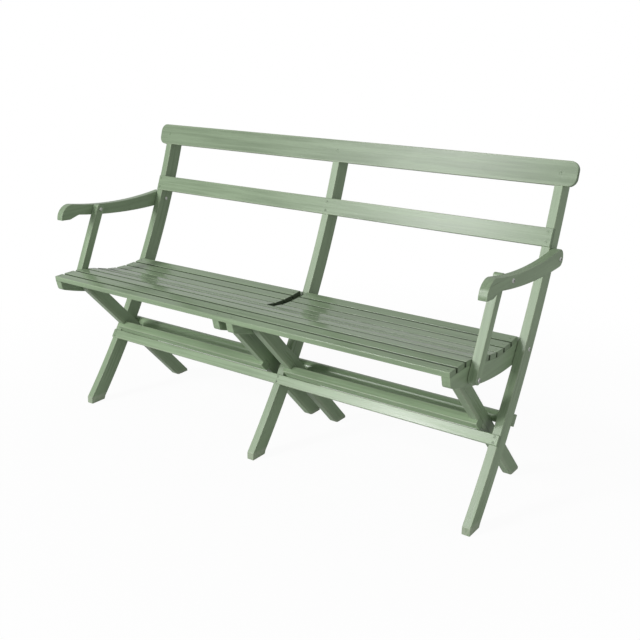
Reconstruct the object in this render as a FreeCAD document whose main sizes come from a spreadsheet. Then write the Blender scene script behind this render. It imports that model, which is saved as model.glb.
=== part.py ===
import FreeCAD, Part
import math
import os
import re
import Sketcher

# Folding garden bench: a fixed back frame of three curved posts, a slatted seat that folds up
# against it, two pairs of legs that cross the posts, and two arms on struts that fold with the seat.
# Millimetres, X to the right, Y to the back, Z up. The origin is on the floor, at mid-length.
doc = FreeCAD.newDocument("folding_bench")
Vector = FreeCAD.Vector
Rotation = FreeCAD.Rotation
Placement = FreeCAD.Placement

SIZES = {
    # Whole bench
    "span": 1400,
    "board": 23,
    "arris": 1.5,
    "turn_gap": 1,
    "face_clearance": 0.3,
    # Curved posts
    "post_width": 47.4,
    "post_arc_radius": 2617.8,
    "post_arc_height": 1653.5,
    "post_foot_reach": 192.35,
    "post_toe_rise": 20,
    "post_toe_slant": 1.6,
    "post_heel_rise": 10,
    "post_heel_slant": 4.3,
    # Back rails and stretchers
    "top_rail_centre": 812,
    "top_rail_height": 64,
    "top_rail_thick": 12,
    "top_rail_overhang": 32,
    "top_rail_end_round": 22,
    "middle_rail_rise": 52,
    "middle_rail_height": 47.5,
    "middle_rail_thick": 12,
    "middle_rail_proud": 2.5,
    "front_stretcher_height": 27.2,
    "front_stretcher_thick": 14,
    "front_stretcher_proud": 4.7,
    "front_stretcher_clearance": 3.8,
    "rear_stretcher_height": 32,
    "rear_stretcher_thick": 20,
    "rear_stretcher_round": 15.9,
    "rear_stretcher_clearance": 1.8,
    # Pivots
    "seat_pivot_height": 394,
    "seat_pivot_setback": 26,
    "arm_pivot_height": 607.5,
    "arm_pivot_setback": 23.7,
    "link_run": 271.3,
    "link_rise": 11,
    "bolt_radius": 3,
    "bolt_clearance": 0.08,
    "bolt_head_radius": 6,
    "bolt_head_height": 2.8,
    "bolt_head_dome": 2,
    "nut_height": 4,
    "nut_depth": 2,
    # Legs
    "leg_width": 40,
    "leg_gap": 3,
    "leg_cross_height": 215,
    "leg_toe_round": 22,
    "leg_heel_cut": 6,
    "leg_stretcher_height": 31,
    "leg_stretcher_thick": 23,
    "leg_stretcher_inset": 12,
    "leg_stretcher_rise": 31,
    "washer_radius": 9,
    "washer_clearance": 0.4,
    # Seat rails
    "rail_front_reach": 362,
    "rail_front_rise": 41.5,
    "rail_front_slant": 5,
    "rail_front_round": 10,
    "rail_rear_reach": 26,
    "rail_rear_rise": 24.5,
    "rail_rear_round": 23,
    "belly_radius": 805,
    "belly_setback": 78.7,
    "belly_drop": 34.5,
    "crown_rise": 43.8,
    "crown_setback": 306,
    "crown_radius": 380,
    "hollow_rise": 14.8,
    "hollow_setback": 112,
    "hollow_front_radius": 283,
    "hollow_rear_radius": 600,
    # Seat slats
    "slat_thick": 14,
    "slat_pitch": 39.6,
    "slat_gap": 7,
    "slat_round": 1.5,
    "slat_arris": 1,
    "front_slat_width": 26.5,
    "nail_radius": 1.2,
    "nail_length": 36,
    "nail_head_radius": 2.4,
    "nail_head_height": 1,
    # Armrests and their struts
    "arm_reach": 398,
    "arm_nose_round": 43,
    "arm_crest_round": 30,
    "arm_nose_rise": 37.5,
    "arm_nose_flat": 30.5,
    "arm_nose_drop": 7.5,
    "arm_hook_run": 33,
    "arm_hook_rise": 9.5,
    "arm_hook_round": 14,
    "arm_rear_reach": 19.5,
    "arm_rear_rise": 28.5,
    "arm_rear_drop": 19,
    "arm_rear_round": 21,
    "arm_top_radius": 1075,
    "arm_belly_radius": 1487,
    "strut_width": 24,
    "strut_end": 13,
    "strut_end_round": 8,
    # Screws
    "screw_radius": 2,
    "screw_length": 36,
    "screw_head_radius": 4.2,
    "screw_head_height": 2.4,
    "screw_sink": 0.4,
    "screw_clearance": 0.1,
    "middle_rail_screw_offset": 13,
    "stretcher_screw_offset": 8,
}

sizes = doc.addObject("Spreadsheet::Sheet", "sizes")
for row, (alias, value) in enumerate(SIZES.items(), start=1):
    sizes.set(f"A{row}", alias.replace("_", " "))
    sizes.set(f"B{row}", str(value))
    sizes.setAlias(f"B{row}", alias)
doc.recompute()

# Values worked out from the sizes. Every formula below names sizes and worked-out values bare.
derived = doc.addObject("App::VarSet", "derived")
owner_of = {alias: "sizes." for alias in SIZES}


def full(formula):
    return re.sub(r"[a-z_]+", lambda word: owner_of.get(word.group(0), "") + word.group(0), formula)


def define(name, formula):
    derived.addProperty("App::PropertyFloat", name)
    derived.setExpression(name, full(formula))
    derived.recompute()
    owner_of[name] = "derived."
    return name


def value_of(formula):
    return float(sizes.evalExpression(full(formula)))


def bind(thing, prop, formula):
    thing.setExpression(prop, full(formula))


# A frame on the posts' curve: lean is the tilt of the curve there, up_y and up_z run along the post,
# and its point lies on the circle of the given radius about the posts' centre.
def post_frame(name, lean, radius):
    define(f"{name}_lean", lean)
    define(f"{name}_y", f"arc_y + ({radius}) * cos({name}_lean)")
    define(f"{name}_z", f"post_arc_height - ({radius}) * sin({name}_lean)")


def in_frame(name, across, along):
    y = f"{name}_y + ({across}) * cos({name}_lean) + ({along}) * sin({name}_lean)"
    z = f"{name}_z - ({across}) * sin({name}_lean) + ({along}) * cos({name}_lean)"
    return y, z


define("arc_y", "-post_foot_reach - sqrt(post_arc_radius ^ 2 - post_arc_height ^ 2)")
define("front_radius", "post_arc_radius - post_width / 2")
define("rear_radius", "post_arc_radius + post_width / 2")
post_frame("top_rail", "asin((post_arc_height - top_rail_centre) / front_radius)", "front_radius")
define("middle_rail_centre", "arm_pivot_height + middle_rail_rise")
post_frame("middle_rail", "asin((post_arc_height - middle_rail_centre) / front_radius)", "front_radius")

define("seat_radius", "front_radius + seat_pivot_setback")
define("seat_y", "arc_y + sqrt(seat_radius ^ 2 - (post_arc_height - seat_pivot_height) ^ 2)")
define("arm_radius", "front_radius + arm_pivot_setback")
define("arm_y", "arc_y + sqrt(arm_radius ^ 2 - (post_arc_height - arm_pivot_height) ^ 2)")
define("link_y", "seat_y - link_run")
define("link_z", "seat_pivot_height + link_rise")

# Leg line, from the link pivot through a point on the posts' centre line
post_frame("cross", "asin((post_arc_height - leg_cross_height) / post_arc_radius)", "post_arc_radius")
define("leg_lean", "atan((cross_y - link_y) / (link_z - leg_cross_height))")
define("meet", "leg_lean + cross_lean")
define("front_corner", "front_stretcher_thick - front_stretcher_proud - post_width / 2")
define("front_room", "leg_width / 2 + front_stretcher_clearance + front_corner * cos(meet)")
define("front_drop", "front_room / sin(meet) + front_stretcher_height / 2")
define("rear_room", "leg_width / 2 + rear_stretcher_clearance - post_width / 2 * cos(meet)")
define("rear_lift", "rear_room / sin(meet) + rear_stretcher_height / 2")
post_frame("front_stretcher", "cross_lean + front_drop / post_arc_radius * 180 / pi", "front_radius")
post_frame("rear_stretcher", "cross_lean - rear_lift / post_arc_radius * 180 / pi", "rear_radius")

# Layers across the bench, from the end posts inwards and from the middle post outwards
define("post_x", "(span - board) / 2")
define("outer_rail_x", "post_x - board - turn_gap")
define("outer_leg_x", "outer_rail_x - board - leg_gap")
define("inner_rail_x", "board + turn_gap")
define("inner_leg_x", "inner_rail_x + board + leg_gap")
define("arm_x", "post_x + board + turn_gap")

SIDES = {"left": "-", "right": ""}


def new_body(label, x="0", y="0", z="0", turn=None):
    made = doc.addObject("PartDesign::Body", label)
    made.Label = label
    made.AllowCompound = True
    if turn is not None:
        made.Placement = Placement(Vector(0, 0, 0), Rotation(Vector(1, 0, 0), 1))
        bind(made, "Placement.Rotation.Angle", turn)
    for axis, formula in (("x", x), ("y", y), ("z", z)):
        if formula != "0":
            bind(made, f"Placement.Base.{axis}", formula)
    return made


def side_plane(body):
    return [item for item in body.Origin.OriginFeatures if item.Role == "YZ_Plane"][0]


# A closed outline in a body's YZ plane. Corners are pairs of formulas; bows maps the number of an
# edge to (radius, side), side 1 putting the arc's centre on the left of the way from its first corner.
def outline(body, name, corners, bows=None):
    bows = bows or {}
    sketch = body.newObject("Sketcher::SketchObject", name)
    sketch.AttachmentSupport = [(side_plane(body), "")]
    sketch.MapMode = "FlatFace"
    points = [Vector(value_of(y), value_of(z), 0) for y, z in corners]
    count = len(points)
    ends = []
    for index, start in enumerate(points):
        stop = points[(index + 1) % count]
        if index in bows:
            radius, side = value_of(bows[index][0]), bows[index][1]
            chord = stop - start
            left = Vector(-chord.y, chord.x, 0).normalize()
            sag = radius - math.sqrt(radius**2 - (chord.Length / 2) ** 2)
            sketch.addGeometry(Part.Arc(start, (start + stop) / 2 - left * side * sag, stop), False)
        else:
            sketch.addGeometry(Part.LineSegment(start, stop), False)
        first, last = sketch.getPoint(index, 1), sketch.getPoint(index, 2)
        forward = (first - start).Length < (last - start).Length
        ends.append((1, 2) if forward else (2, 1))
    for index in range(count):
        after = (index + 1) % count
        sketch.addConstraint(Sketcher.Constraint("Coincident", index, ends[index][1], after, ends[after][0]))
    for index, (y, z) in enumerate(corners):
        for kind, formula, axis in (("DistanceX", y, -2), ("DistanceY", z, -1)):
            place = points[index].x if kind == "DistanceX" else points[index].y
            if formula == "0":
                sketch.addConstraint(Sketcher.Constraint("PointOnObject", index, ends[index][0], axis))
            else:
                number = sketch.addConstraint(Sketcher.Constraint(kind, index, ends[index][0], place))
                bind(sketch, f"Constraints[{number}]", formula)
    for index, (radius, side) in bows.items():
        number = sketch.addConstraint(Sketcher.Constraint("Radius", index, value_of(radius)))
        bind(sketch, f"Constraints[{number}]", radius)
    return sketch


def pad(body, name, sketch, length):
    made = body.newObject("PartDesign::Pad", name)
    made.Profile = sketch
    made.SideType = "Symmetric"
    bind(made, "Length", length)
    sketch.recompute()
    made.recompute()
    return made


# A slot right through a board's thickness, with its walls square to the board
def notch(body, name, corners):
    made = body.newObject("PartDesign::Pocket", name)
    made.Profile = outline(body, f"{name}_outline", corners)
    made.SideType = "Symmetric"
    made.Type = "ThroughAll"
    return made


def rod(body, kind, name, start, radius, length, turn=None):
    made = body.newObject(f"PartDesign::{kind}Cylinder", name)
    if turn is None:
        made.Placement = Placement(Vector(0, 0, 0), Rotation(Vector(0, 1, 0), 90))
    else:
        made.Placement = Placement(Vector(0, 0, 0), Rotation(Vector(1, 0, 0), 1))
        bind(made, "Placement.Rotation.Angle", turn)
    for axis, formula in zip("xyz", start):
        bind(made, f"Placement.Base.{axis}", formula)
    bind(made, "Radius", radius)
    bind(made, "Height", length)
    return made


def pivot_hole(body, name, y, z):
    return rod(body, "Subtractive", name, ("-board", y, z), "bolt_radius + bolt_clearance", "2 * board")


def round_edges(body, feature, name, radius, wanted=None):
    made = body.newObject("PartDesign::Fillet", name)
    if wanted is None:
        made.Base = (feature, ["Edge1"])
        made.UseAllEdges = True
    else:
        edges = [f"Edge{i}" for i, edge in enumerate(feature.Shape.Edges, start=1) if wanted(edge)]
        made.Base = (feature, edges)
    bind(made, "Radius", radius)
    made.recompute()
    return made


# Picks the edges across a board's thickness at the given corners of its outline
def across_at(corners):
    spots = [(value_of(y), value_of(z)) for y, z in corners]

    def wanted(edge):
        first, last = edge.Vertexes[0].Point, edge.Vertexes[-1].Point
        if abs(first.x - last.x) < 1 or math.hypot(first.y - last.y, first.z - last.z) > 0.01:
            return False
        return any(math.hypot(first.y - y, first.z - z) < 0.05 for y, z in spots)

    return wanted


def box_corners(front, rear, low, high):
    return [(front, low), (rear, low), (rear, high), (front, high)]


# Curved posts: a band between two arcs, notched on the front edge for the two back rails and the
# front stretcher. The feet are cut flat, with a steep toe and a small heel chamfer.
SCREW_ROWS = {
    "top_rail": ("0", ["0"]),
    "middle_rail": ("middle_rail_proud", ["-middle_rail_screw_offset", "middle_rail_screw_offset"]),
    "front_stretcher": ("front_stretcher_proud", ["-stretcher_screw_offset", "stretcher_screw_offset"]),
    "rear_stretcher": ("rear_stretcher_thick", ["-stretcher_screw_offset", "stretcher_screw_offset"]),
}
POSTS = {"left": "-post_x", "middle": "0", "right": "post_x"}
front_y = "arc_y + sqrt(front_radius ^ 2 - (post_arc_height - post_toe_rise) ^ 2)"
rear_y = "arc_y + sqrt(rear_radius ^ 2 - (post_arc_height - post_heel_rise) ^ 2)"
top_front = in_frame("top_rail", "0", "top_rail_height / 2")
top_rear = in_frame("top_rail", "post_width", "top_rail_height / 2")
for side, x in POSTS.items():
    post = new_body(f"post_{side}", x=x)
    corners = [
        (f"{front_y} - post_toe_slant", "0"),
        (f"{rear_y} - post_heel_slant", "0"),
        (rear_y, "post_heel_rise"),
        top_rear,
        top_front,
        (front_y, "post_toe_rise"),
    ]
    bows = {2: ("rear_radius", 1), 4: ("front_radius", -1)}
    sketch = outline(post, f"post_{side}_outline", corners, bows)
    blank = pad(post, f"post_{side}_blank", sketch, "board")
    round_edges(post, blank, f"post_{side}_arris", "arris")
    for rail, inset in (
        ("top_rail", "top_rail_thick"),
        ("middle_rail", "middle_rail_thick - middle_rail_proud"),
        ("front_stretcher", "front_stretcher_thick - front_stretcher_proud"),
    ):
        high = f"{rail}_height / 2"
        top = f"{high} + arris" if rail == "top_rail" else high
        spans = box_corners("-post_width / 4", inset, f"-{high}", top)
        walls = [in_frame(rail, across, along) for across, along in spans]
        notch(post, f"post_{side}_{rail}_notch", walls)
    for rail, (proud, offsets) in SCREW_ROWS.items():
        behind = rail == "rear_stretcher"
        for number, offset in enumerate(offsets):
            y, z = in_frame(rail, proud if behind else f"-({proud})", offset)
            turn = f"90 - {rail}_lean" if behind else f"-90 - {rail}_lean"
            spot = ("0", y, z)
            name = f"post_{side}_{rail}_pilot_{number}"
            rod(post, "Subtractive", name, spot, "screw_radius + screw_clearance", "screw_length", turn)
    pivot_hole(post, f"post_{side}_seat_hole", "seat_y", "seat_pivot_height")
    if side != "middle":
        pivot_hole(post, f"post_{side}_arm_hole", "arm_y", "arm_pivot_height")


# A screw's hole in a board, with its countersink
def screw_hole(body, label, spot, turn):
    rod(body, "Subtractive", f"{label}_hole", spot, "screw_radius + screw_clearance", "screw_length", turn)
    wide = "screw_head_radius + screw_clearance"
    rod(body, "Subtractive", f"{label}_sink", spot, wide, "screw_sink + screw_head_height + arris", turn)


# A flat-headed screw with its shank
def screw(body, label, spot, turn):
    rod(body, "Additive", f"{label}_head", spot, "screw_head_radius", "screw_head_height", turn)
    rod(body, "Additive", f"{label}_shank", spot, "screw_radius", "screw_length - 2 * screw_sink", turn)


# Rails and stretchers across the posts, each drawn in the posts' frame at its own height: local Y
# runs into the post, local Z up along it.
def holes_for_screws(body, name, proud, offsets, behind):
    turn = "90" if behind else "-90"
    face = f"{proud} + arris" if behind else f"-({proud}) - arris"
    for post, x in POSTS.items():
        for number, offset in enumerate(offsets):
            spot = (x, face, offset)
            label = f"{name}_{post}_{number}"
            screw_hole(body, label, spot, turn)


top_rail = new_body("top_rail", y="top_rail_y", z="top_rail_z", turn="-top_rail_lean")
section = box_corners("0", "top_rail_thick", "-top_rail_height / 2", "top_rail_height / 2")
sketch = outline(top_rail, "top_rail_section", section)
blank = pad(top_rail, "top_rail_blank", sketch, "span + 2 * top_rail_overhang")


def end_corner(edge):
    first, last = edge.Vertexes[0].Point, edge.Vertexes[-1].Point
    return math.hypot(first.x - last.x, first.z - last.z) < 0.01


ends = round_edges(top_rail, blank, "top_rail_ends", "top_rail_end_round", end_corner)
round_edges(top_rail, ends, "top_rail_arris", "arris")
holes_for_screws(top_rail, "top_rail", *SCREW_ROWS["top_rail"], False)

for rail in ("middle_rail", "front_stretcher"):
    body = new_body(rail, y=f"{rail}_y", z=f"{rail}_z", turn=f"-{rail}_lean")
    inset = f"{rail}_thick - {rail}_proud"
    section = box_corners(f"-{rail}_proud", inset, f"-{rail}_height / 2", f"{rail}_height / 2")
    blank = pad(body, f"{rail}_blank", outline(body, f"{rail}_section", section), "span")
    round_edges(body, blank, f"{rail}_arris", "arris")
    holes_for_screws(body, rail, *SCREW_ROWS[rail], False)

# The rear stretcher lies on the posts' rear edges. Its front corners are well rounded, so the
# crossing legs clear it while they turn.
lean = "-rear_stretcher_lean"
rear = new_body("rear_stretcher", y="rear_stretcher_y", z="rear_stretcher_z", turn=lean)
half = "rear_stretcher_height / 2"
section = box_corners("0", "rear_stretcher_thick", f"-{half}", half)
blank = pad(rear, "rear_stretcher_blank", outline(rear, "rear_stretcher_section", section), "span")
front_edges = across_at([section[0], section[3]])
rounded = round_edges(rear, blank, "rear_stretcher_front", "rear_stretcher_round", front_edges)
round_edges(rear, rounded, "rear_stretcher_arris", "arris")
holes_for_screws(rear, "rear_stretcher", *SCREW_ROWS["rear_stretcher"], True)

# Screws, one group for each rail: a flat head just below the face, and a shank into the post
for rail, (proud, offsets) in SCREW_ROWS.items():
    behind = rail == "rear_stretcher"
    screws = new_body(f"{rail}_screws", y=f"{rail}_y", z=f"{rail}_z", turn=f"-{rail}_lean")
    turn = "90" if behind else "-90"
    face = f"{proud} - screw_sink" if behind else f"screw_sink - ({proud})"
    for post, x in POSTS.items():
        for number, offset in enumerate(offsets):
            label = f"{rail}_{post}_screw_{number}"
            spot = (x, face, offset)
            screw(screws, label, spot, turn)

# Seat rails: a faceted upper edge with one flat for each slat, high at the front and hollow at the
# back, and a bellied lower edge. Local origin on the seat pivot.
facets = []
for index in range(10):
    if index == 0:
        y, z = "-rail_front_reach", "rail_front_rise"
    else:
        y = f"-rail_front_reach + front_slat_width + slat_gap / 2 + {index - 1} * slat_pitch"
        if index < 5:
            z = f"crown_rise - (({y}) + crown_setback) ^ 2 / (2 * crown_radius)"
        else:
            radius = "hollow_front_radius" if index < 7 else "hollow_rear_radius"
            z = f"hollow_rise + (({y}) + hollow_setback) ^ 2 / (2 * {radius})"
    name = "abcdefghij"[index]
    facets.append((define(f"facet_{name}_y", y), define(f"facet_{name}_z", z)))


def belly_z(y):
    return f"belly_radius - belly_drop - sqrt(belly_radius ^ 2 - (({y}) + belly_setback) ^ 2)"


SLATS = []
for index in range(9):
    (front, low), (back, high) = facets[index], facets[index + 1]
    name = f"slat_{'abcdefghi'[index]}"
    define(f"{name}_slope", f"atan(({high} - {low}) / ({back} - {front}))")
    shift = "-slat_gap / 4" if index == 0 else "0"
    define(f"{name}_y", f"({front} + {back}) / 2 + ({shift}) * cos({name}_slope)")
    define(f"{name}_z", f"({low} + {high}) / 2 + ({shift}) * sin({name}_slope)")
    SLATS.append(name)

define("rail_heel_y", "rail_front_slant - rail_front_reach")
RAILS = {
    "outer_left": "-outer_rail_x",
    "inner_left": "-inner_rail_x",
    "inner_right": "inner_rail_x",
    "outer_right": "outer_rail_x",
}


def lower_arris(edge):
    middle = edge.CenterOfMass
    return edge.Length > 60 and middle.z < 0 and abs(middle.x) > 1


def slat_top(slat):
    return f"{slat}_y - slat_thick * sin({slat}_slope)", f"{slat}_z + slat_thick * cos({slat}_slope)"


for side, x in RAILS.items():
    rail = new_body(f"seat_rail_{side}", x=x, y="seat_y", z="seat_pivot_height")
    lower_front = ("rail_heel_y", belly_z("rail_heel_y"))
    lower_rear = ("rail_rear_reach", belly_z("rail_rear_reach"))
    upper_rear = ("rail_rear_reach", "rail_rear_rise")
    corners = [lower_front, lower_rear, upper_rear] + facets[::-1]
    name = f"seat_rail_{side}"
    sketch = outline(rail, f"{name}_outline", corners, {0: ("belly_radius", 1)})
    blank = pad(rail, f"{name}_blank", sketch, "board")
    tail = across_at([lower_rear, upper_rear])
    tailed = round_edges(rail, blank, f"{name}_tail", "rail_rear_round", tail)
    nose = across_at([lower_front])
    nosed = round_edges(rail, tailed, f"{name}_nose", "rail_front_round", nose)
    round_edges(rail, nosed, f"{name}_arris", "arris", lower_arris)
    pivot_hole(rail, f"{name}_seat_hole", "0", "0")
    pivot_hole(rail, f"{name}_link_hole", "-link_run", "link_rise")
    for slat in SLATS:
        spot = ("0", *slat_top(slat))
        radius = "nail_radius + screw_clearance"
        turn = f"180 + {slat}_slope"
        rod(rail, "Subtractive", f"{name}_{slat}_nail", spot, radius, "nail_length + 1", turn)

# Seat slats. The front five run the whole width in front of the middle post; the back four are cut
# in two so the seat can fold past it. Each has rounded upper edges and a nail into every seat rail.
define("slat_end_x", "outer_rail_x + board / 2")
define("slat_start_x", "inner_rail_x - board / 2")
define("half_slat_x", "(slat_start_x + slat_end_x) / 2")
define("half_slat_length", "slat_end_x - slat_start_x")
define("slat_width", "slat_pitch - slat_gap")
define("half_slat_nail_x", "outer_rail_x - half_slat_x")


def slat_node(label, slat, x, length, nail_xs, width):
    y = f"seat_y + {slat}_y"
    z = f"seat_pivot_height + {slat}_z"
    body = new_body(label, x=x, y=y, z=z, turn=f"{slat}_slope")
    section = box_corners(f"-{width} / 2", f"{width} / 2", "0", "slat_thick")
    blank = pad(body, f"{label}_blank", outline(body, f"{label}_section", section), length)
    upper = across_at([section[2], section[3]])
    rounded = round_edges(body, blank, f"{label}_upper", "slat_round", upper)
    round_edges(body, rounded, f"{label}_arris", "slat_arris")
    for number, nail_x in enumerate(nail_xs):
        top = (nail_x, "0", "slat_thick + slat_arris")
        label_nail = f"{label}_nail_{number}"
        narrow, wide = "nail_radius + screw_clearance", "nail_head_radius + screw_clearance"
        sunk = "nail_head_height + slat_arris"
        rod(body, "Subtractive", f"{label_nail}_hole", top, narrow, "2 * slat_thick", "180")
        rod(body, "Subtractive", f"{label_nail}_sink", top, wide, sunk, "180")
    return body


for index, slat in enumerate(SLATS):
    width = "front_slat_width" if index == 0 else "slat_width"
    if index < 5:
        slat_node(f"front_{slat}", slat, "0", "2 * slat_end_x", list(RAILS.values()), width)
    else:
        for side, sign in SIDES.items():
            xs = ["-half_slat_nail_x", "half_slat_nail_x"]
            x = f"{sign}half_slat_x"
            slat_node(f"rear_{slat}_{side}", slat, x, "half_slat_length", xs, width)

# Slat nails: a flat head let into the slat and a shank down into the rail
nail_pieces = []
for slat in SLATS:
    top_y, top_z = slat_top(slat)
    for nail_x in RAILS.values():
        for radius, length in (
            ("nail_head_radius", "nail_head_height"),
            ("nail_radius", "nail_length"),
        ):
            piece = doc.addObject("Part::Cylinder", f"nail_{len(nail_pieces)}")
            piece.Placement = Placement(Vector(0, 0, 0), Rotation(Vector(1, 0, 0), 1))
            bind(piece, "Radius", radius)
            bind(piece, "Height", length)
            bind(piece, "Placement.Rotation.Angle", f"180 + {slat}_slope")
            bind(piece, "Placement.Base.x", nail_x)
            bind(piece, "Placement.Base.y", f"seat_y + {top_y}")
            bind(piece, "Placement.Base.z", f"seat_pivot_height + {top_z}")
            nail_pieces.append(piece)
nails = doc.addObject("Part::MultiFuse", "slat_nails")
nails.Label = "slat_nails"
nails.Shapes = nail_pieces

# Legs: straight boards from the link pivot down to the floor behind the posts. Local origin on the
# pivot, local Z up the leg, local Y to its rear edge. The foot is cut level, its sharp heel cut off.
define("sole_front_z", "-(link_z - leg_width / 2 * sin(leg_lean)) / cos(leg_lean)")
define("sole_rear_z", "-(link_z + leg_width / 2 * sin(leg_lean)) / cos(leg_lean)")
define("leg_face", "leg_width / 2 - leg_stretcher_inset + leg_stretcher_thick")
define("stretcher_low", "leg_stretcher_rise - (link_z - leg_cross_height) / cos(leg_lean)")
define("stretcher_high", "stretcher_low + leg_stretcher_height")
LEGS = {
    "outer_left": "-outer_leg_x",
    "inner_left": "-inner_leg_x",
    "inner_right": "inner_leg_x",
    "outer_right": "outer_leg_x",
}
for side, x in LEGS.items():
    name = f"leg_{side}"
    leg = new_body(name, x=x, y="link_y", z="link_z", turn="leg_lean")
    half = "leg_width / 2"
    toe = (f"-{half}", "sole_front_z")
    top_rear_corner, top_front_corner = (half, half), (f"-{half}", half)
    corners = [
        toe,
        (f"{half} - leg_heel_cut * cos(leg_lean)", "sole_rear_z + leg_heel_cut * sin(leg_lean)"),
        (half, "sole_rear_z + leg_heel_cut / sin(leg_lean)"),
        top_rear_corner,
        top_front_corner,
    ]
    blank = pad(leg, f"{name}_blank", outline(leg, f"{name}_outline", corners), "board")
    headed = round_edges(leg, blank, f"{name}_head", f"{half} - 0.1", across_at(corners[3:]))
    toed = round_edges(leg, headed, f"{name}_toe", "leg_toe_round", across_at([toe]))
    round_edges(leg, toed, f"{name}_arris", "arris")
    slot_rear = f"leg_stretcher_inset - {half}"
    slot = box_corners(f"-{half} - leg_stretcher_thick", slot_rear, "stretcher_low", "stretcher_high")
    notch(leg, f"{name}_slot", slot)
    pivot_hole(leg, f"{name}_hole", "0", "0")
    spot = ("0", "-leg_face", "(stretcher_low + stretcher_high) / 2")
    narrow = "screw_radius + screw_clearance"
    rod(leg, "Subtractive", f"{name}_pilot", spot, narrow, "screw_length", "-90")

# Leg stretchers, one let into the front edges of each pair of legs, and their screws
define("leg_pair_x", "(inner_leg_x + outer_leg_x) / 2")
define("leg_pair_length", "outer_leg_x - inner_leg_x + board")
define("leg_screw_x", "(outer_leg_x - inner_leg_x) / 2")
for side, sign in SIDES.items():
    name = f"leg_stretcher_{side}"
    body = new_body(name, x=f"{sign}leg_pair_x", y="link_y", z="link_z", turn="leg_lean")
    rear_face = "leg_stretcher_inset - leg_width / 2"
    section = box_corners("-leg_face", rear_face, "stretcher_low", "stretcher_high")
    blank = pad(body, f"{name}_blank", outline(body, f"{name}_section", section), "leg_pair_length")
    round_edges(body, blank, f"{name}_arris", "arris")
    screws = new_body(f"{name}_screws", x=f"{sign}leg_pair_x", y="link_y", z="link_z", turn="leg_lean")
    middle = "(stretcher_low + stretcher_high) / 2"
    for number, x in enumerate(("-leg_screw_x", "leg_screw_x")):
        screw_hole(body, f"{name}_screw_{number}", (x, "-leg_face - arris", middle), "-90")
        screw(screws, f"{name}_screw_{number}", (x, "screw_sink - leg_face", middle), "-90")

# Arm struts: from the link pivot up to the armrest, in the posts' layer. Local Z runs up the strut.
define("arm_link_y", "arm_y - link_run")
define("arm_link_z", "arm_pivot_height + link_rise")
define("strut_length", "sqrt((arm_link_y - link_y) ^ 2 + (arm_link_z - link_z) ^ 2)")
define("strut_lean", "atan((arm_link_y - link_y) / (arm_link_z - link_z))")
for side, sign in SIDES.items():
    name = f"arm_strut_{side}"
    strut = new_body(name, x=f"{sign}post_x", y="link_y", z="link_z", turn="-strut_lean")
    half = "strut_width / 2"
    corners = box_corners(f"-{half}", half, f"-{half}", "strut_length + strut_end")
    blank = pad(strut, f"{name}_blank", outline(strut, f"{name}_outline", corners), "board")
    footed = round_edges(strut, blank, f"{name}_foot", f"{half} - 0.1", across_at(corners[:2]))
    topped = round_edges(strut, footed, f"{name}_top", "strut_end_round", across_at(corners[2:]))
    round_edges(strut, topped, f"{name}_arris", "arris")
    pivot_hole(strut, f"{name}_link_hole", "0", "0")
    pivot_hole(strut, f"{name}_arm_hole", "0", "strut_length")

# Armrests: a hollow top, a bellied underside, a round rear end, and a round nose with a small hook
# under it. Local origin on the rear pivot.
for side, sign in SIDES.items():
    name = f"armrest_{side}"
    arm = new_body(name, x=f"{sign}arm_x", y="arm_y", z="arm_pivot_height")
    nose_top = ("arm_nose_round - arm_reach", "arm_nose_rise")
    rear_top = ("arm_rear_reach", "arm_rear_rise")
    rear_low = ("arm_rear_reach", "-arm_rear_drop")
    hook_rear = ("arm_nose_flat + arm_hook_run - arm_reach", "arm_hook_rise - arm_nose_drop")
    hook_front = ("arm_nose_flat - arm_reach", "-arm_nose_drop")
    nose_low = ("-arm_reach", "arm_nose_rise - arm_nose_round")
    corners = [nose_top, nose_low, hook_front, hook_rear, rear_low, rear_top]
    bows = {0: ("arm_nose_round", 1), 3: ("arm_belly_radius", 1), 5: ("arm_top_radius", -1)}
    blank = pad(arm, f"{name}_blank", outline(arm, f"{name}_outline", corners, bows), "board")
    tail = across_at([rear_low, rear_top])
    tailed = round_edges(arm, blank, f"{name}_tail", "arm_rear_round", tail)
    crested = round_edges(arm, tailed, f"{name}_crest", "arm_crest_round", across_at([nose_top]))
    hook = across_at([hook_front, hook_rear])
    hooked = round_edges(arm, crested, f"{name}_hook", "arm_hook_round", hook)
    round_edges(arm, hooked, f"{name}_arris", "arris")
    pivot_hole(arm, f"{name}_rear_hole", "0", "0")
    pivot_hole(arm, f"{name}_front_hole", "-link_run", "link_rise")


# Bolts and cap nuts. A bolt's head stands on one face and its shank ends inside the nut beyond the
# other. Each entry: where it is, the faces of the head and nut sides, and the clearance under each.
def rims_at(faces, radius):
    def wanted(edge):
        curve = getattr(edge, "Curve", None)
        if not isinstance(curve, Part.Circle) or abs(curve.Radius - radius) > 0.01:
            return False
        return any(abs(edge.CenterOfMass.x - face) < 0.01 for face in faces)

    return wanted


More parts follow.
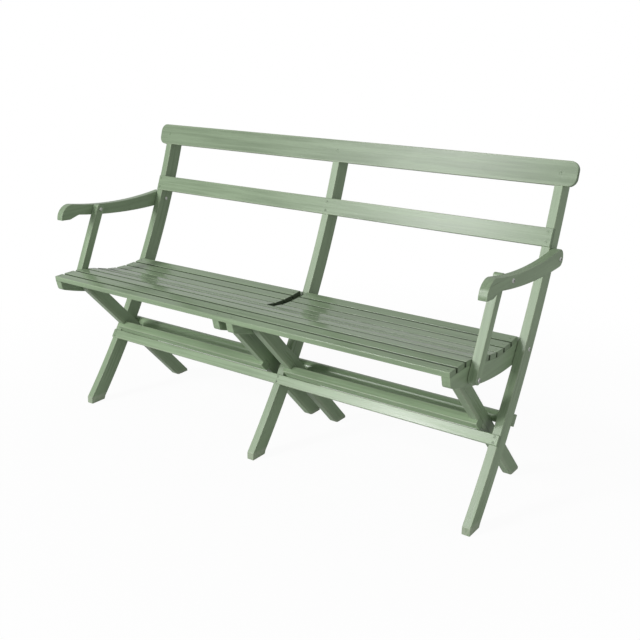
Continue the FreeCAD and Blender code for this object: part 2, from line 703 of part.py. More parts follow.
def fasteners(bolt_label, nut_label, entries, y, z):
    bolts = new_body(bolt_label, y=y, z=z)
    nuts = new_body(nut_label, y=y, z=z)
    caps = {"bolt": [], "nut": []}
    last = {}
    for number, (head_face, nut_face, way) in enumerate(entries):
        for kind, body, face, height, out in (
            ("bolt", bolts, head_face, "bolt_head_height", way),
            ("nut", nuts, nut_face, "nut_height", -way),
        ):
            start = face if out > 0 else f"{face} - {height}"
            label = f"{bolt_label}_{kind}_cap_{number}"
            last[kind] = rod(body, "Additive", label, (start, "0", "0"), "bolt_head_radius", height)
            caps[kind].append(value_of(f"{face} + {height}" if out > 0 else start))
    radius = value_of("bolt_head_radius")
    for kind, body in (("bolt", bolts), ("nut", nuts)):
        for feature in body.Group:
            feature.recompute()
        rims = rims_at(caps[kind], radius)
        round_edges(body, last[kind], f"{bolt_label}_{kind}_dome", "bolt_head_dome", rims)
    for number, (head_face, nut_face, way) in enumerate(entries):
        tip = f"{nut_face} - nut_depth" if way > 0 else f"{nut_face} + nut_depth"
        low, high = (tip, head_face) if way > 0 else (head_face, tip)
        label = f"{bolt_label}_shank_{number}"
        rod(bolts, "Additive", label, (low, "0", "0"), "bolt_radius", f"({high}) - ({low})")
        low, high = (tip, nut_face) if way > 0 else (nut_face, tip)
        label, bore = f"{nut_label}_bore_{number}", "bolt_radius + bolt_clearance"
        rod(nuts, "Subtractive", label, (low, "0", "0"), bore, f"({high}) - ({low})")


def mirrored(head_face, nut_face):
    return [(head_face, nut_face, 1), (f"-({head_face})", f"-({nut_face})", -1)]


half_board = "board / 2"
fasteners(
    "seat_bolts",
    "seat_nuts",
    mirrored(f"post_x + {half_board}", f"outer_rail_x - {half_board} - face_clearance"),
    "seat_y",
    "seat_pivot_height",
)
fasteners(
    "middle_seat_bolt",
    "middle_seat_nut",
    [
        (
            f"inner_rail_x + {half_board} + face_clearance",
            f"-inner_rail_x - {half_board} - face_clearance",
            1,
        )
    ],
    "seat_y",
    "seat_pivot_height",
)
fasteners(
    "outer_leg_bolts",
    "outer_leg_nuts",
    mirrored(f"post_x + {half_board} + face_clearance", f"outer_leg_x - {half_board} - face_clearance"),
    "link_y",
    "link_z",
)
fasteners(
    "inner_leg_bolts",
    "inner_leg_nuts",
    [
        (f"-inner_leg_x - {half_board} - face_clearance", f"-inner_rail_x + {half_board}", -1),
        (f"inner_leg_x + {half_board} + face_clearance", f"inner_rail_x - {half_board}", 1),
    ],
    "link_y",
    "link_z",
)
fasteners(
    "arm_rear_bolts",
    "arm_rear_nuts",
    mirrored(f"arm_x + {half_board} + face_clearance", f"post_x - {half_board}"),
    "arm_y",
    "arm_pivot_height",
)
for side, sign in SIDES.items():
    head_face = f"arm_x + {half_board}"
    nut_face = f"post_x - {half_board} - face_clearance"
    entries = [mirrored(head_face, nut_face)[0 if side == "right" else 1]]
    fasteners(f"arm_front_bolt_{side}", f"arm_front_nut_{side}", entries, "arm_link_y", "arm_link_z")

# Washers between the seat rails and the legs
washers = new_body("leg_washers", y="link_y", z="link_z")
thick = "leg_gap - washer_clearance"
for number, start in enumerate(
    (
        f"-outer_rail_x + {half_board}",
        f"-inner_rail_x - {half_board} - ({thick})",
        f"inner_rail_x + {half_board}",
        f"outer_rail_x - {half_board} - ({thick})",
    )
):
    rod(washers, "Additive", f"washer_{number}", (start, "0", "0"), "washer_radius", thick)
    bore = (f"{start} - 1", "0", "0")
    rod(washers, "Subtractive", f"washer_bore_{number}", bore, "bolt_radius + bolt_clearance", "leg_gap + 2")

doc.recompute()
parts = [item for item in doc.Objects if item.TypeId == "PartDesign::Body"] + [nails]
for item in doc.Objects:
    if "Invalid" in item.State or "Error" in item.State:
        raise ValueError(f"{item.Name} is not built: {item.State}")
for item in parts:
    if item.Shape.isNull() or not item.Shape.isValid():
        raise ValueError(f"{item.Label} has no valid shape")
os.makedirs("parts", exist_ok=True)
for item in parts:
    item.Shape.exportStep(f"parts/{item.Label}.step")
print(len(parts), "parts written")
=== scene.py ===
import math
import random

import bmesh
import bpy
from mathutils import Matrix, Vector


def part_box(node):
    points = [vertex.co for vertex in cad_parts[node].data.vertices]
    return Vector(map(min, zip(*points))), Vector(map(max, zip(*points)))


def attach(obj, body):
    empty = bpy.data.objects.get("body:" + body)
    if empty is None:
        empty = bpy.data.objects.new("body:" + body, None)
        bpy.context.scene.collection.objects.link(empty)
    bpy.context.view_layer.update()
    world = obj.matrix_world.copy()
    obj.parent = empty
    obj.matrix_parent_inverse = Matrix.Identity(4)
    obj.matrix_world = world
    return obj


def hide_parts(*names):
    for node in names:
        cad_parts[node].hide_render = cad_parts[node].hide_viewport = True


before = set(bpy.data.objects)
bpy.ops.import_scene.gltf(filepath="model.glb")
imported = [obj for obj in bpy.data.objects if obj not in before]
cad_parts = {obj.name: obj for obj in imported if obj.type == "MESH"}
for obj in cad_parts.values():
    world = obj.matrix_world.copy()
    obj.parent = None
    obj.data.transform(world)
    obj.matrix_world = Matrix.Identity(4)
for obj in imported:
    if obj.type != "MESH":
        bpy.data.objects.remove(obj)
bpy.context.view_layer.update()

# Curved posts: three boards sawn to one long arc, planed, their edges eased, primed and
# brushed with two coats of sage-green paint. The brush ran along the arc, so its fine
# streaks and the grain that shows through the paint follow the curve.


class Reading:
    """A socket's value in a node tree. Sums and products of readings add Math nodes."""

    def __init__(self, coat, socket):
        self.coat = coat
        self.socket = socket

    def math(self, operation, *others):
        values = {0: self, **{place + 1: other for place, other in enumerate(others)}}
        return self.coat.node("ShaderNodeMath", {"operation": operation}, values)

    def __add__(self, other):
        return self.math("ADD", other)

    def __sub__(self, other):
        return self.math("SUBTRACT", other)

    def __mul__(self, other):
        return self.math("MULTIPLY", other)

    def __rsub__(self, other):
        return self * -1.0 + other

    __radd__ = __add__
    __rmul__ = __mul__

    def __abs__(self):
        return self.math("ABSOLUTE")

    def larger(self, other):
        return self.math("MAXIMUM", other)

    def between(self, low, high):
        """0 below low, 1 above high, and a smooth rise from one to the other."""
        values = {"Value": self, "From Min": low, "From Max": high}
        return self.coat.node("ShaderNodeMapRange", {"interpolation_type": "SMOOTHSTEP"}, values)


class Coat:
    """One node tree, of a finish or of the studio, built up node by node."""

    def __init__(self, tree, output):
        self.tree = tree
        self.tree.nodes.clear()
        self.output = self.tree.nodes.new(output)

    def node(self, kind, settings=None, values=None, out=0):
        made = self.tree.nodes.new(kind)
        for key, value in (settings or {}).items():
            setattr(made, key, value)
        for key, value in (values or {}).items():
            if isinstance(value, Reading):
                self.tree.links.new(value.socket, made.inputs[key])
            else:
                made.inputs[key].default_value = value
        return Reading(self, made.outputs[out])

    def parts(self, vector):
        values = {"Vector": vector}
        return [self.node("ShaderNodeSeparateXYZ", None, values, out) for out in range(3)]

    def place(self, centre=(0.0, 0.0, 0.0), turn=0.0):
        """Object coordinates from a piece's centre, turned about X: three readings in metres."""
        shift = -(Matrix.Rotation(turn, 3, "X") @ Vector(centre))
        spot = self.node("ShaderNodeTexCoord", None, None, 3)
        values = {"Vector": spot, "Location": tuple(shift), "Rotation": (turn, 0.0, 0.0)}
        return self.parts(self.node("ShaderNodeMapping", {"vector_type": "POINT"}, values))

    def noise(self, spot, stretch, detail, seed):
        """Noise between 0 and 1. stretch gives its cycles per metre each way."""
        scaled = {axis: value * size for axis, value, size in zip("XYZ", spot, stretch)}
        vector = self.node("ShaderNodeCombineXYZ", None, scaled)
        values = {"Vector": vector, "W": seed, "Scale": 1.0, "Detail": detail, "Roughness": 0.55}
        return self.node("ShaderNodeTexNoise", {"noise_dimensions": "4D"}, values)

    def mix(self, factor, low, high):
        """One colour over another."""
        settings = {"data_type": "RGBA", "blend_type": "MIX"}
        return self.node("ShaderNodeMix", settings, {0: factor, 6: low, 7: high}, 2)

    def bump(self, height, distance):
        values = {"Height": height, "Distance": distance, "Strength": 1.0}
        return self.node("ShaderNodeBump", None, values)

    def close(self, shader):
        self.tree.links.new(shader.socket, self.output.inputs["Surface"])


def new_coat(name):
    material = bpy.data.materials.new(name)
    material.use_nodes = True
    return material, Coat(material.node_tree, "ShaderNodeOutputMaterial")


def clothe(node, material):
    """Gives a CAD node one finish all over."""
    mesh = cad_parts[node].data
    mesh.materials.clear()
    mesh.materials.append(material)


SAGE = (0.252, 0.342, 0.212)
PALER, DEEPER = 1.3, 0.66
RUBBED_AND_HIGHLIT = (0.396, 0.451, 0.33, 1.0)
SCUFFED = (0.47, 0.5, 0.41, 1.0)
PAINT_IOR = 1.46
PAINT_RELIEF = 0.0001
BOARD = 0.023
LOT_SPREAD = 0.035
batch = random.Random(11)

# Patterns in the paint, in cycles per metre along, across and through a board
CLOUDS = (2.6, 14.0, 14.0)
STREAKS = (3.4, 110.0, 110.0)
GRAIN = (5.0, 330.0, 330.0)
BRUSH_LINES = (11.0, 950.0, 950.0)
NIBS = (700.0, 900.0, 900.0)
END_RINGS = (60.0, 420.0, 420.0)
SCUFFS = (60.0, 160.0, 160.0)


def shade(colour, strength):
    return (*(value * strength for value in colour), 1.0)


def sage_paint(
    coat,
    spot,
    seed,
    edge=None,
    tip=None,
    foot=None,
    painted_gap_shade=None,
    rub_and_highlight=0.4,
    satin=0.3,
    lines=1.0,
    painted_light=1.0,
):
    """Brushed satin paint over planed wood. spot runs along, across and through the board; edge,
    tip, foot and the gap mask are 1 on its rubbed edges, its sawn ends, at the ground and in gaps,
    where the gap mask paints shade. The edge strength sets how pale the edges are rubbed, wear
    that also paints a highlight along them; satin is the roughness, lines the strength of the
    streaks, and the light level a painted darkening or brightening of the whole board for how
    light falls on it."""
    # Each board's paint varies a little at random, scaled by a painted light level that darkens or
    # brightens the whole board.
    lot_and_light = painted_light * (1.0 + batch.uniform(-LOT_SPREAD, LOT_SPREAD))
    cloud = coat.noise(spot, CLOUDS, 2.0, seed)
    streak = coat.noise(spot, STREAKS, 3.0, seed + 5.0)
    grain = coat.noise(spot, GRAIN, 4.0, seed + 7.0)
    brush = coat.noise(spot, BRUSH_LINES, 2.0, seed + 13.0)
    nibs = coat.noise(spot, NIBS, 1.0, seed + 19.0)
    tone = 0.5 + (cloud - 0.5) * 0.4 + (streak - 0.5) * (0.55 * lines) + (brush - 0.5) * 0.25
    low, high = shade(SAGE, DEEPER * lot_and_light), shade(SAGE, PALER * lot_and_light)
    colour = coat.mix(tone.between(0.12, 0.88), low, high)
    pores = grain.between(0.6, 0.78)
    colour = coat.mix(pores * 0.3, colour, shade(SAGE, 0.5))
    rough = satin + (cloud - 0.5) * 0.12 + (streak - 0.5) * 0.2 + pores * 0.08
    # Rubbed edges: real wear paler along the edges, which also paints a highlight along the
    # arrises.
    if edge is not None:
        rubbed_and_highlit = edge * streak.between(0.36, 0.6)
        colour = coat.mix(rubbed_and_highlit * rub_and_highlight, colour, RUBBED_AND_HIGHLIT)
    if tip is not None:
        rings = coat.noise(spot, END_RINGS, 3.0, seed + 23.0)
        colour = coat.mix(tip * (0.25 + rings * 0.4), colour, shade(SAGE, 0.52))
        rough = rough + tip * 0.15
    # Painted shade: the paint darkens deep in the gaps between slats, where shade falls.
    if painted_gap_shade is not None:
        colour = coat.mix(painted_gap_shade * 0.9, colour, shade(SAGE, 0.22))
        rough = rough + painted_gap_shade * 0.2
    if foot is not None:
        worn = foot * coat.noise(spot, SCUFFS, 3.0, seed + 29.0).between(0.2, 0.6)
        colour = coat.mix(worn * 0.45, colour, SCUFFED)
        rough = rough + worn * 0.15
    height = grain * 0.55 + brush * 0.3 + nibs.between(0.62, 0.8) * 0.3
    normal = coat.bump(height, PAINT_RELIEF)
    values = {"Base Color": colour, "Roughness": rough, "Normal": normal, "IOR": PAINT_IOR}
    coat.close(coat.node("ShaderNodeBsdfPrincipled", None, values))


EDGE_RUB_AND_HIGHLIGHT = (0.0008, 0.0042)


def near_edge(across, half_width, depth, half_depth):
    """1 along a board's four long edges, fading to 0 about 4 mm from them."""
    inside = (half_width - abs(across)).larger(half_depth - abs(depth))
    return 1.0 - inside.between(*EDGE_RUB_AND_HIGHLIGHT)


ARC_Y, ARC_Z, ARC_RADIUS = -2.2218, 1.6535, 2.6178
POST_WIDTH = 0.0474
POST_TOE = (0.017, 0.026)
for number, side in enumerate(("left", "middle", "right")):
    node = f"post_{side}"
    low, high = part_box(node)
    material, coat = new_coat(f"paint_{node}")
    depth, y, z = coat.place(((low.x + high.x) / 2, ARC_Y, ARC_Z))
    across = (y * y + z * z).math("SQRT") - ARC_RADIUS
    along = z.math("ARCTAN2", y) * ARC_RADIUS
    edge = near_edge(across, POST_WIDTH / 2, depth, BOARD / 2)
    foot = 1.0 - (z + ARC_Z).between(*POST_TOE)
    sage_paint(coat, (along, across, depth), 3.0 + number, edge, foot=foot, lines=0.45)
    clothe(node, material)

# Back rails and stretchers: straight boards let into the posts' front edges and screwed there,
# and one laid on their rear edges. The corners of the top rail's ends are sawn round.
# Each: its lean, half its width, half its thickness, half its length and a painted light level
# that darkens the top rail and brightens the lower boards.
RAIL_BOARDS = {
    "top_rail": (-18.97, 0.032, 0.006, 0.732, 0.82),
    "middle_rail": (-22.53, 0.02375, 0.006, 0.7, 0.92),
    "front_stretcher": (-34.05, 0.0136, 0.007, 0.7, 1.06),
    "rear_stretcher": (-32.61, 0.016, 0.01, 0.7, 1.25),
}

# How far its marks reach: in from a sawn end, in from a gap's side, down from a slat's top, and
# out from the bench's middle
SAWN_DEEP, SAWN_FADE = 0.0004, 0.0025
GAP_SIDE_DEEP, GAP_SIDE_FADE = 0.0004, 0.0012
GAP_TOP_CLEAN, GAP_TOP_FADE = 0.0006, 0.0016
SLOT_HALF, SLOT_FADE = 0.02, 0.1


def straight_board(node, turn, half_width, half_depth, half_length, painted_light, seed, flat=False):
    """Paints a board that lies along X. flat is for a slat laid down, with its width along Y:
    painted shade darkens the gaps beside it and, on a short one, its end in the middle slot."""
    low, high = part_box(node)
    material, coat = new_coat(f"paint_{node}")
    along, y, z = coat.place((low + high) / 2, math.radians(-turn))
    across, depth = (y, z) if flat else (z, y)
    edge = near_edge(across, half_width, depth, half_depth)
    tip = abs(along).between(half_length - SAWN_FADE, half_length - SAWN_DEEP)
    # Painted shade in the gaps beside a slat below its top, and on a short slat's end in the
    # middle slot.
    painted_gap_shade = None
    if flat:
        side = across if node == "front_slat_a" else abs(across)
        below = 1.0 - depth.between(half_depth - GAP_TOP_FADE, half_depth - GAP_TOP_CLEAN)
        painted_gap_shade = side.between(half_width - GAP_SIDE_FADE, half_width - GAP_SIDE_DEEP) * below
        if node.startswith("rear"):
            slot = 1.0 - abs(coat.place()[0]).between(SLOT_HALF, SLOT_FADE)
            painted_gap_shade = painted_gap_shade.larger(tip * slot)
    rub_and_highlight, satin = (0.1, 0.17) if flat else (0.4, 0.27)
    spot = (along, across, depth)
    sage_paint(coat, spot, seed, edge, tip, None, painted_gap_shade, rub_and_highlight, satin, painted_light=painted_light)
    clothe(node, material)


for number, (node, sizes) in enumerate(RAIL_BOARDS.items()):
    straight_board(node, *sizes, 10.0 + number)

# Seat rails: four boards on edge under the slats, sawn to a hollow seat and a bellied lower
# edge, their grain running from front to back. The saw left no straight edge to rub, so the pale
# rubbed wear, which also paints a highlight, follows the rounded arris itself.
RAIL_SIDES = ("outer_left", "inner_left", "inner_right", "outer_right")


def arris(coat):
    """1 where a sawn board's rounded arris turns from its face to its edge."""
    sideways = abs(coat.parts(coat.node("ShaderNodeNewGeometry", None, None, 1))[0])
    return sideways.between(0.15, 0.4) * (1.0 - sideways.between(0.8, 0.97))


for number, side in enumerate(RAIL_SIDES):
    node = f"seat_rail_{side}"
    low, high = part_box(node)
    material, coat = new_coat(f"paint_{node}")
    depth, along, across = coat.place((low + high) / 2)
    sage_paint(coat, (along, across, depth), 20.0 + number, arris(coat))
    clothe(node, material)

# Seat slats: nine rows of narrow boards nailed down, each on its own flat of the rails, with
# rounded upper edges. The front five are whole; the back four stop short of the middle post.
SLAT_SLOPES = {
    "a": 2.6,
    "b": 1.1,
    "c": -4.9,
    "d": -10.7,
    "e": -15.5,
    "f": -8.6,
    "g": -1.0,
    "h": 3.5,
    "i": 7.2,
}
FIRST_SLAT_WIDTH, SLAT_WIDTH, SLAT_THICK = 0.0265, 0.0326, 0.014
FRONT_SLAT_LENGTH, REAR_SLAT_LENGTH = 1.352, 0.6635
for number, (letter, slope) in enumerate(SLAT_SLOPES.items()):
    section = (FIRST_SLAT_WIDTH if letter == "a" else SLAT_WIDTH) / 2, SLAT_THICK / 2
    # The front slats are painted 6% paler as painted light; the rear ones keep 1.0.
    if letter in "abcde":
        node = f"front_slat_{letter}"
        half_length = FRONT_SLAT_LENGTH / 2
        straight_board(node, slope, *section, half_length, 1.06, 30.0 + number, True)
    else:
        for side, seed in (("left", 50.0), ("right", 40.0)):
            node = f"rear_slat_{letter}_{side}"
            half_length = REAR_SLAT_LENGTH / 2
            straight_board(node, slope, *section, half_length, 1.0, seed + number, True)

# Legs and their stretchers: straight boards that cross the posts, each pair joined by a board
# let into its front edges and screwed. The feet are cut level and the painted ends scuffed.
LEG_LEAN = 40.264
LEG_WIDTH = 0.04
LEG_TOE = (0.004, 0.016)
LEG_STRETCHER = (0.0155, 0.0115, 0.30575)
for number, side in enumerate(RAIL_SIDES):
    node = f"leg_{side}"
    low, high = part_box(node)
    material, coat = new_coat(f"paint_{node}")
    depth, across, along = coat.place((low + high) / 2, math.radians(-LEG_LEAN))
    edge = near_edge(across, LEG_WIDTH / 2, depth, BOARD / 2)
    foot = 1.0 - coat.place()[2].between(*LEG_TOE)
    sage_paint(coat, (along, across, depth), 60.0 + number, edge, foot=foot, lines=0.6)
    clothe(node, material)
# The leg stretchers are painted 10% paler as painted light, for how light falls on them.
for number, side in enumerate(("left", "right")):
    straight_board(f"leg_stretcher_{side}", LEG_LEAN, *LEG_STRETCHER, 1.1, 66.0 + number)

# Arms: a shaped armrest bolted to the outer face of each end post, and a straight strut under
# it down to the legs' pivot.
STRUT_LEAN = -25.585
STRUT_WIDTH = 0.024
for number, side in enumerate(("left", "right")):
    node = f"armrest_{side}"
    low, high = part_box(node)
    material, coat = new_coat(f"paint_{node}")
    depth, along, across = coat.place((low + high) / 2)
    sage_paint(coat, (along, across, depth), 70.0 + number, arris(coat))
    clothe(node, material)
    node = f"arm_strut_{side}"
    low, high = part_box(node)
    material, coat = new_coat(f"paint_{node}")
    depth, across, along = coat.place((low + high) / 2, math.radians(-STRUT_LEAN))
    edge = near_edge(across, STRUT_WIDTH / 2, depth, BOARD / 2)
    sage_paint(coat, (along, across, depth), 74.0 + number, edge)
    clothe(node, material)

# Pivot bolts: button heads with a hexagon socket, in dull zinc-plated steel left unpainted. Each
# is driven from the outside of its joint, and its shank ends in a cap nut.


def fastener_places(node, way, mirrored=False):
    """The middle of the outer face of each fastener in a CAD node, the way it faces, and its
    length. way points out of that face; mirrored turns it round on the bench's left half."""
    shape = bmesh.new()
    shape.from_mesh(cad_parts[node].data)
    bmesh.ops.remove_doubles(shape, verts=shape.verts, dist=1e-6)
    seen = set()
    places = []
    for start in shape.verts:
        if start in seen:
            continue
        seen.add(start)
        piece = [start]
        for point in piece:
            for line in point.link_edges:
                other = line.other_vert(point)
                if other not in seen:
                    seen.add(other)
                    piece.append(other)
        out = Vector(way)
        if mirrored and piece[0].co.x < 0.0:
            out.x = -out.x
        levels = [point.co.dot(out) for point in piece]
        rim = [point.co for point in piece if point.co.dot(out) > max(levels) - 1e-5]
        middle = Vector([(min(axis) + max(axis)) / 2 for axis in zip(*rim)])
        places.append((middle, out, max(levels) - min(levels)))
    shape.free()
    return places


def turned(shape, profile, steps, ring=False):
    """Spins a profile of (radius, height) points in millimetres about Z. ring closes it."""
    points = [shape.verts.new((radius / 1000, 0.0, height / 1000)) for radius, height in profile]
    pairs = list(zip(points, points[1:])) + ([(points[-1], points[0])] if ring else [])
    lines = [shape.edges.new(pair) for pair in pairs]
    centre, up = (0, 0, 0), (0, 0, 1)
    turn = {"cent": centre, "axis": up, "angle": math.tau, "steps": steps, "use_merge": True}
    bmesh.ops.spin(shape, geom=points + lines, **turn)
    bmesh.ops.remove_doubles(shape, verts=shape.verts, dist=1e-7)


def recess(shape, corners, depth, taper):
    """Closes the one open rim of a head around a recess with these corners, sunk by depth."""
    rim = [line for line in shape.edges if line.is_boundary]
    level = rim[0].verts[0].co.z
    points = [shape.verts.new((x / 1000, y / 1000, level)) for x, y in corners]
    mouth = [shape.edges.new(pair) for pair in zip(points, points[1:] + points[:1])]
    bmesh.ops.bridge_loops(shape, edges=rim + mouth)
    sunk = bmesh.ops.extrude_edge_only(shape, edges=mouth)["geom"]
    floor_points = [item for item in sunk if isinstance(item, bmesh.types.BMVert)]
    bmesh.ops.scale(shape, vec=(taper, taper, 1.0), verts=floor_points)
    bmesh.ops.translate(shape, vec=(0.0, 0.0, -depth / 1000), verts=floor_points)
    floor_lines = [item for item in sunk if isinstance(item, bmesh.types.BMEdge)]
    bmesh.ops.holes_fill(shape, edges=floor_lines, sides=len(corners))


def set_in(name, node, body, material, places, make):
    """Sets one made fastener at each place, as a single piece that stands for a CAD node."""
    whole = bmesh.new()
    for middle, out, length in places:
        single = bmesh.new()
        make(single, length * 1000)
        bmesh.ops.recalc_face_normals(single, faces=single.faces)
        turn = out.to_track_quat("Z", "Y").to_matrix().to_4x4()
        bmesh.ops.transform(single, matrix=Matrix.Translation(middle) @ turn, verts=single.verts)
        loose = bpy.data.meshes.new(name)
        single.to_mesh(loose)
        single.free()
        whole.from_mesh(loose)
        bpy.data.meshes.remove(loose)
    for face in whole.faces:
        face.smooth = True
    mesh = bpy.data.meshes.new(name)
    whole.to_mesh(mesh)
    whole.free()
    mesh.set_sharp_from_angle(angle=math.radians(32.0))
    mesh.materials.append(material)
    piece = bpy.data.objects.new(name, mesh)
    bpy.context.scene.collection.objects.link(piece)
    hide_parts(node)
    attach(piece, body)


BRIGHT_ZINC = (0.7, 0.71, 0.68, 1.0)
DULL_ZINC = (0.42, 0.44, 0.41, 1.0)
SPECKED = (0.2, 0.21, 0.19, 1.0)
ZINC_CLOUDS = (500.0, 500.0, 500.0)
SPECKS = (2600.0, 2600.0, 2600.0)
ZINC_RELIEF = 0.00006


def zinc_plate(name, seed):
    material, coat = new_coat(name)
    spot = coat.place()
    cloud = coat.noise(spot, ZINC_CLOUDS, 3.0, seed)
    specks = coat.noise(spot, SPECKS, 2.0, seed + 5.0)
    colour = coat.mix(cloud.between(0.35, 0.7), BRIGHT_ZINC, DULL_ZINC)
    colour = coat.mix(specks.between(0.6, 0.75) * 0.4, colour, SPECKED)
    values = {
        "Base Color": colour,
        "Metallic": 0.75,
        "Roughness": 0.36 + cloud * 0.2,
        "Normal": coat.bump(specks, ZINC_RELIEF),
    }
    coat.close(coat.node("ShaderNodeBsdfPrincipled", None, values))
    return material


HEX = [(math.cos(math.tau * step / 6), math.sin(math.tau * step / 6)) for step in range(6)]
SOCKET, SOCKET_DEPTH = 2.5, 1.5


def button_bolt(shape, length):
    shank = [(0.0, -length), (2.4, -length), (3.0, 0.7 - length), (3.0, -2.8)]
    head = [(6.0, -2.8), (6.0, -2.2), (5.75, -1.5), (5.1, -0.8), (4.2, -0.25), (3.3, 0.0)]
    turned(shape, shank + head, 36)
    recess(shape, [(SOCKET * x, SOCKET * y) for x, y in HEX], SOCKET_DEPTH, 0.96)


OUTWARDS, INWARDS = (1.0, 0.0, 0.0), (-1.0, 0.0, 0.0)
BOLTS = (
    ("seat_bolts", "back_frame"),
    ("middle_seat_bolt", "back_frame"),
    ("outer_leg_bolts", "seat"),
    ("inner_leg_bolts", "seat"),
    ("arm_rear_bolts", "back_frame"),
    ("arm_front_bolt_left", "armrest_left"),
    ("arm_front_bolt_right", "armrest_right"),
)
zinc_bolts = zinc_plate("zinc_bolts", 80.0)
for node, body in BOLTS:
    places = fastener_places(node, OUTWARDS, True)
    set_in(f"{node}_turned", node, body, zinc_bolts, places, button_bolt)

# Cap nuts: small hexagons with a dome that covers the bolt's tip, on the inner side of each
# joint, in the same zinc-plated steel.
NUT_RADIUS, NUT_BASE, NUT_EASE = 0.006, 0.0022, 0.0003


def cap_nut(shape, length):
    size = {"radius1": NUT_RADIUS, "radius2": NUT_RADIUS, "depth": NUT_BASE}
    base = bmesh.ops.create_cone(shape, cap_ends=True, segments=6, **size)
    seat = NUT_BASE / 2 - length / 1000
    bmesh.ops.translate(shape, vec=(0.0, 0.0, seat), verts=base["verts"])
    ease = {"offset": NUT_EASE, "segments": 2, "profile": 0.5, "affect": "EDGES", "material": -1}
    bmesh.ops.bevel(shape, geom=shape.edges[:], **ease)
    dome = [(4.7, -2.4), (4.6, -1.7), (4.1, -0.9), (3.1, -0.3), (1.6, 0.0), (0.0, 0.05)]
    turned(shape, [(0.0, -2.4)] + dome, 30)


NUTS = (
    ("seat_nuts", "back_frame"),
    ("middle_seat_nut", "back_frame"),
    ("outer_leg_nuts", "seat"),
    ("inner_leg_nuts", "seat"),
    ("arm_rear_nuts", "back_frame"),
    ("arm_front_nut_left", "armrest_left"),
    ("arm_front_nut_right", "armrest_right"),
)
zinc_nuts = zinc_plate("zinc_nuts", 90.0)
for node, body in NUTS:
    places = fastener_places(node, INWARDS, True)
    set_in(f"{node}_domed", node, body, zinc_nuts, places, cap_nut)

# Leg washers: plain round plates stamped from the same zinc-plated steel, their rims eased, held
# on the leg bolts between the seat rails and the legs.


def washer(shape, length):
    low = -length
    under = [(3.1, low + 0.3), (3.3, low), (8.7, low), (9.0, low + 0.4)]
    turned(shape, under + [(9.0, -0.4), (8.7, 0.0), (3.3, 0.0), (3.1, -0.3)], 40, True)


node = "leg_washers"
places = fastener_places(node, OUTWARDS, True)
zinc_washers = zinc_plate("zinc_washers", 95.0)
set_in("leg_washers_turned", node, "seat", zinc_washers, places, washer)

# Wood screws: countersunk heads with a cross recess, sunk just under the faces of the rails and
# stretchers and brushed over with them, so they show as faint rings.


def wood_screw(shape, length):
    thread = [(0.0, -length), (1.0, 2.5 - length), (2.0, 5.0 - length), (2.0, -2.6)]
    turned(shape, thread + [(4.1, -0.6), (4.2, -0.25), (3.95, 0.0)], 32)
    long, half = 2.3, 0.5
    cross = [(long, -half), (long, half), (half, half), (half, long), (-half, long), (-half, half)]
    recess(shape, cross + [(-x, -y) for x, y in cross], 1.1, 0.55)


def painted_head(name, seed):
    material, coat = new_coat(name)
    sage_paint(coat, coat.place(), seed)
    return material


def out_of_board(lean, facing):
    angle = math.radians(lean)
    return (0.0, facing * math.cos(angle), facing * math.sin(angle))


FORWARDS, BACKWARDS = -1.0, 1.0
screwed = [(board, "back_frame", sizes[0]) for board, sizes in RAIL_BOARDS.items()]
for side in ("left", "right"):
    screwed.append((f"leg_stretcher_{side}", f"leg_frame_{side}", LEG_LEAN))
screw_paint = painted_head("paint_screws", 120.0)
for board, body, lean in screwed:
    node = f"{board}_screws"
    facing = BACKWARDS if board == "rear_stretcher" else FORWARDS
    places = fastener_places(node, out_of_board(lean, facing))
    set_in(f"{node}_cut", node, body, screw_paint, places, wood_screw)

# Slat nails: round steel nails driven down through the slats into every seat rail, their flat
# heads set flush with the slats' tops and painted over.


def nail(shape, length):
    shank = [(0.0, -length), (1.2, 3.0 - length), (1.2, -1.0)]
    turned(shape, shank + [(2.3, -1.0), (2.4, -0.7), (2.35, -0.15), (1.9, 0.03), (0.0, 0.08)], 20)


node = "slat_nails"
places = fastener_places(node, (0.0, 0.0, 1.0))
nail_paint = painted_head("paint_nails", 130.0)
set_in("slat_nails_round", node, "seat", nail_paint, places, nail)

# Floor and light: a white studio floor that keeps a faint shadow near the feet, an even white
# surround, and three soft lamps: a high one on the left that shines back from the rails, a low
# one beside it that reaches under the seat, and a weak one on the right.
FLOOR_SIZE = 40.0
FLOOR_BOUNCE, FLOOR_SEEN = 0.65, 0.3
SHADOW_SHARE, SHADOW_NEAR, SHADOW_FAR = 0.05, 0.7, 1.8
bpy.ops.mesh.primitive_plane_add(size=FLOOR_SIZE, location=(0.0, 0.0, 0.0))
floor = bpy.context.object
floor.name = "floor"
material, ground = new_coat("studio_floor")
x, y, z = ground.place()
near = 1.0 - (x * x + y * y).math("SQRT").between(SHADOW_NEAR, SHADOW_FAR)
direct = ground.node("ShaderNodeLightPath", None, None, 0)
plain_white = {"Color": (1.0, 1.0, 1.0, 1.0), "Strength": 1.0}
glow = ground.node("ShaderNodeEmission", None, plain_white)
matt = ground.node("ShaderNodeBsdfDiffuse", None, {"Color": FLOOR_BOUNCE + direct * FLOOR_SEEN})
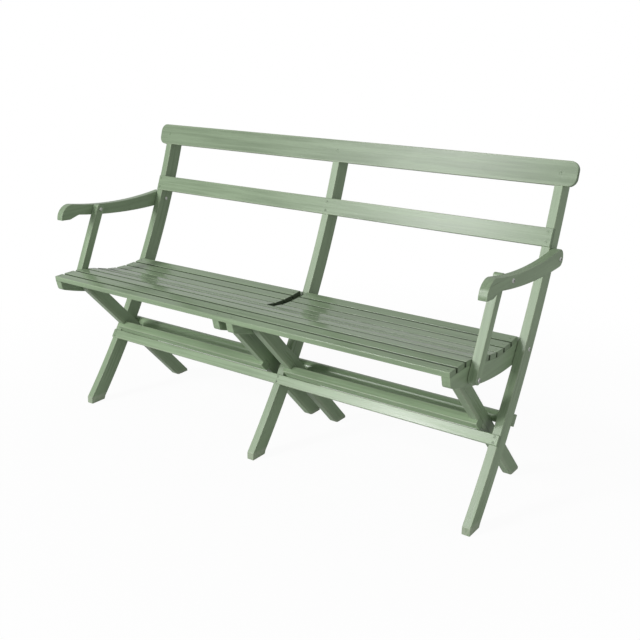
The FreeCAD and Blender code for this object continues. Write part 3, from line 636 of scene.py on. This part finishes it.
shares = {0: direct * (1.0 - near * SHADOW_SHARE), 1: matt, 2: glow}
ground.close(ground.node("ShaderNodeMixShader", None, shares))
floor.data.materials.append(material)

SURROUND_LIGHT, SURROUND_SEEN, SURROUND_SHINE = 0.4, 0.6, 0.22
world = bpy.data.worlds.new("studio")
bpy.context.scene.world = world
world.use_nodes = True
surround = Coat(world.node_tree, "ShaderNodeOutputWorld")
direct = surround.node("ShaderNodeLightPath", None, None, 0)
glossy = surround.node("ShaderNodeLightPath", None, None, 3)
level = SURROUND_LIGHT + direct * SURROUND_SEEN + glossy * SURROUND_SHINE
white = {"Color": (1.0, 1.0, 1.0, 1.0), "Strength": level}
surround.close(surround.node("ShaderNodeBackground", None, white))

AIM = Vector((0.0, 0.0, 0.4))


def soft_lamp(name, spot, width, watts):
    lamp = bpy.data.lights.new(name, "AREA")
    lamp.shape = "SQUARE"
    lamp.size = width
    lamp.energy = watts
    made = bpy.data.objects.new(name, lamp)
    made.location = spot
    made.rotation_euler = (AIM - Vector(spot)).to_track_quat("-Z", "Y").to_euler()
    made.visible_camera = False
    bpy.context.scene.collection.objects.link(made)


soft_lamp("high_lamp", (-4.0, -6.5, 5.6), 1.4, 235.0)
soft_lamp("low_lamp", (-3.7, -6.4, 2.5), 1.5, 255.0)
soft_lamp("fill_lamp", (4.1, -1.5, 0.7), 2.0, 23.0)

# Camera: a little over a metre up, in front of the bench's right end, turned to its middle and
# tilted down, with the lens shifted to frame the whole bench.
DOWN, ROLL, ROUND = 19.8835, 0.153, 34.264
eye = bpy.data.cameras.new("camera")
eye.sensor_width = 36.0
eye.lens = 49.39
eye.shift_x = -0.0775
eye.shift_y = 0.0186
camera = bpy.data.objects.new("camera", eye)
camera.location = (1.52805, -1.84572, 1.18431)
camera.rotation_euler = [math.radians(angle) for angle in (90.0 - DOWN, ROLL, ROUND)]
bpy.context.scene.collection.objects.link(camera)
bpy.context.scene.camera = camera
bpy.context.scene.view_settings.view_transform = "Standard"


def corners(box):
    return [[float(value) for value in corner] for corner in box]
